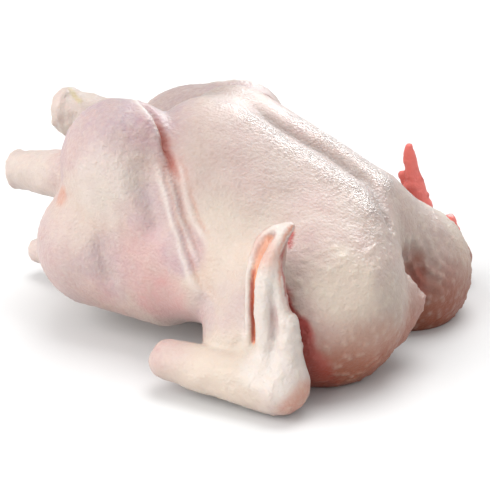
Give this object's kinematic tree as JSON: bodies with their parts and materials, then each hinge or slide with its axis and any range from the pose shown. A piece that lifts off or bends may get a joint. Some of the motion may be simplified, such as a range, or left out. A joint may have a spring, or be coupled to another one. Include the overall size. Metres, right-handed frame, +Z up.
{
  "type": "whole raw chicken",
  "caption": "Whole raw chicken lying on its back, plucked and dressed, legs folded and wings tucked, one solid of skin and flesh.",
  "frame": {"origin": "centre of the bounding box, at the table the bird lies on", "axes": "+X from the tail towards the neck, +Y from the bird's left to its right as seen from above with the neck at +X, +Z up through the breast"},
  "size_m": [0.24, 0.2118, 0.1171],
  "materials": {
    "skin": "moist raw poultry skin, half gloss"
  },
  "bodies": {
    "root": {"chicken": "skin"}
  },
  "joints": []
}
